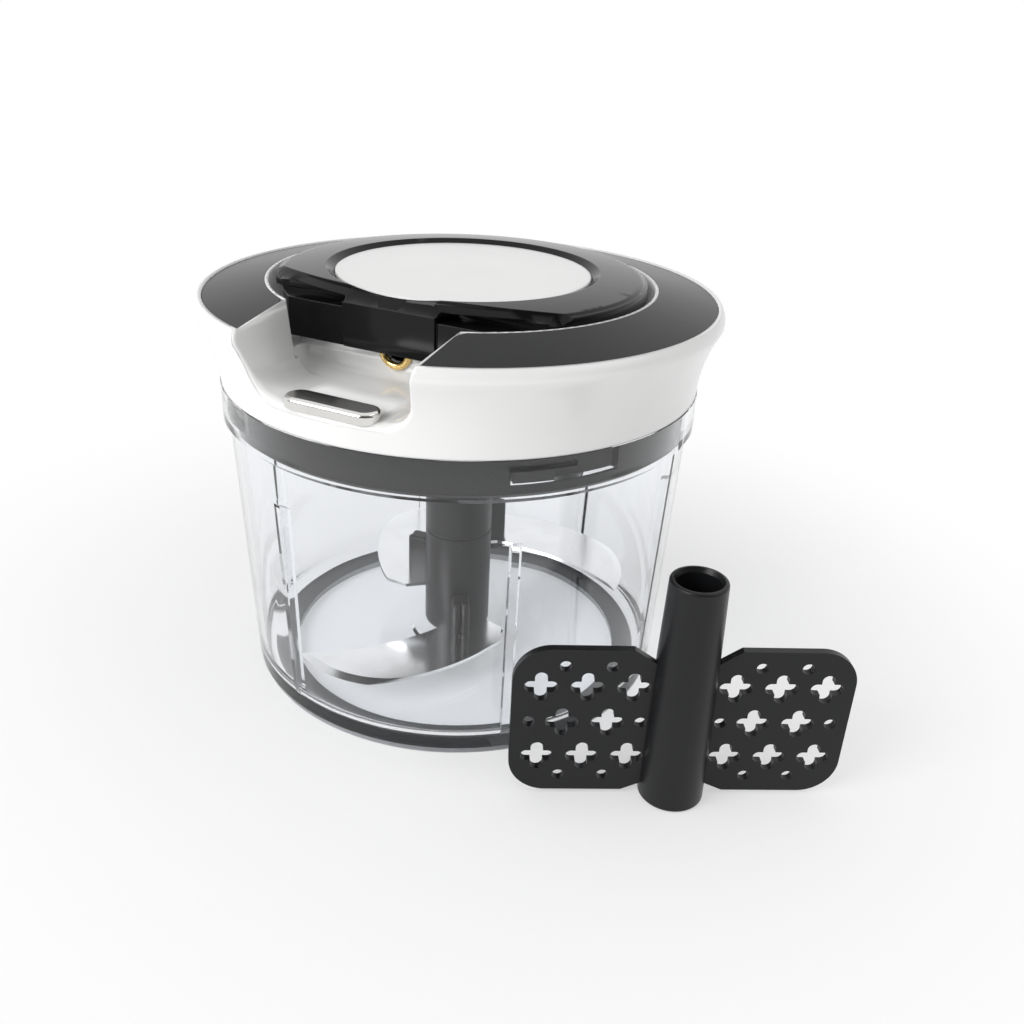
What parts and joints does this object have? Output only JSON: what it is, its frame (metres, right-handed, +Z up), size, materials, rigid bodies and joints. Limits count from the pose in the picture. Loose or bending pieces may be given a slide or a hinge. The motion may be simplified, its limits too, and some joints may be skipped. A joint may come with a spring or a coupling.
{
  "type": "pull-string food chopper",
  "caption": "Hand food chopper: clear bowl, white lid with a recessed black pull handle, stacked curved blades on a column, and a separate pierced mixing paddle.",
  "frame": {"origin": "centre of the bowl's foot, on the surface it stands on", "axes": "+Z up the blade column, towards the handle; -Y is the side with the cord scoop; +X towards the side where the paddle stands"},
  "size_m": [0.2414, 0.1727, 0.1486],
  "materials": {
    "clear_plastic": "clear, polished",
    "grey_rubber": "soft grey, matt",
    "steel": "polished stainless steel",
    "spring_steel": "blued spring steel",
    "blade_steel": "polished, ground edge",
    "brass": "polished",
    "dark_plastic": "warm dark grey, satin",
    "white_plastic": "white, glossy",
    "charcoal_plastic": "charcoal, satin gloss",
    "natural_plastic": "natural acetal",
    "black_plastic": "black, glossy",
    "charcoal_matte": "charcoal black, satin",
    "cord": "braided nylon"
  },
  "bodies": {
    "bowl": {"bowl": "clear_plastic", "base_ring": "grey_rubber", "spindle_pin": "steel"},
    "lid": {"lid_housing": "white_plastic", "top_plate": "charcoal_plastic", "cord_eyelet": "brass", "wear_pad": "steel", "gear_cover": "dark_plastic", "lid_seal": "grey_rubber", "reel_axle": "steel", "cover_screws": "steel", "cord_lead": "cord"},
    "reel": {"cord_reel": "natural_plastic", "wound_cord": "cord", "recoil_spring": "spring_steel", "spring_cover": "natural_plastic"},
    "pawl_front": {"pawl_front": "natural_plastic"},
    "pawl_rear": {"pawl_rear": "natural_plastic"},
    "drive": {"drive_hub": "natural_plastic", "column_upper": "dark_plastic", "column_lower": "dark_plastic", "pin_bush": "brass", "blade_lower": "blade_steel", "blade_middle": "blade_steel", "blade_upper": "blade_steel", "blade_clamp_lower": "dark_plastic", "blade_clamp_middle": "dark_plastic", "blade_clamp_upper": "dark_plastic"},
    "handle": {"handle_cap": "black_plastic", "handle_base": "black_plastic", "handle_disc": "white_plastic", "handle_screws": "steel", "cord_ferrule": "brass"},
    "paddle": {"mixing_paddle": "charcoal_matte"}
  },
  "joints": [
    {"name": "lid_turn", "type": "hinge", "parent": "bowl", "child": "lid", "pos_m": [0, 0, 0.105], "axis": [0, 0, 1], "range_deg": [0, 15]},
    {"name": "handle_pull", "type": "slide", "parent": "lid", "child": "handle", "axis": [0, -0.2588, 0.9659], "range_m": [0, 0.38], "deforming": ["cord_lead", "wound_cord", "recoil_spring"]},
    {"name": "reel_spin", "type": "hinge", "parent": "lid", "child": "reel", "pos_m": [0, 0, 0.12], "axis": [0, 0, 1], "range_deg": [0, 1090]},
    {"name": "drive_spin", "type": "hinge", "parent": "lid", "child": "drive", "pos_m": [0, 0, 0.06], "axis": [0, 0, 1], "range_deg": [0, 1090]},
    {"name": "pawl_front_swing", "type": "hinge", "parent": "reel", "child": "pawl_front", "pos_m": [0.0151, -0.0098, 0.112], "axis": [0, 0, 1], "range_deg": [0, 10]},
    {"name": "pawl_rear_swing", "type": "hinge", "parent": "reel", "child": "pawl_rear", "pos_m": [-0.0151, 0.0098, 0.112], "axis": [0, 0, 1], "range_deg": [0, 10]},
    {"name": "paddle_lift", "type": "slide", "parent": "bowl", "child": "paddle", "axis": [0, 0, 1], "range_m": [0, 0.1]}
  ],
  "couplings": [
    {"joint": "reel_spin", "follows": "handle_pull", "rad_per_m": 50},
    {"joint": "drive_spin", "follows": "handle_pull", "rad_per_m": 50}
  ]
}
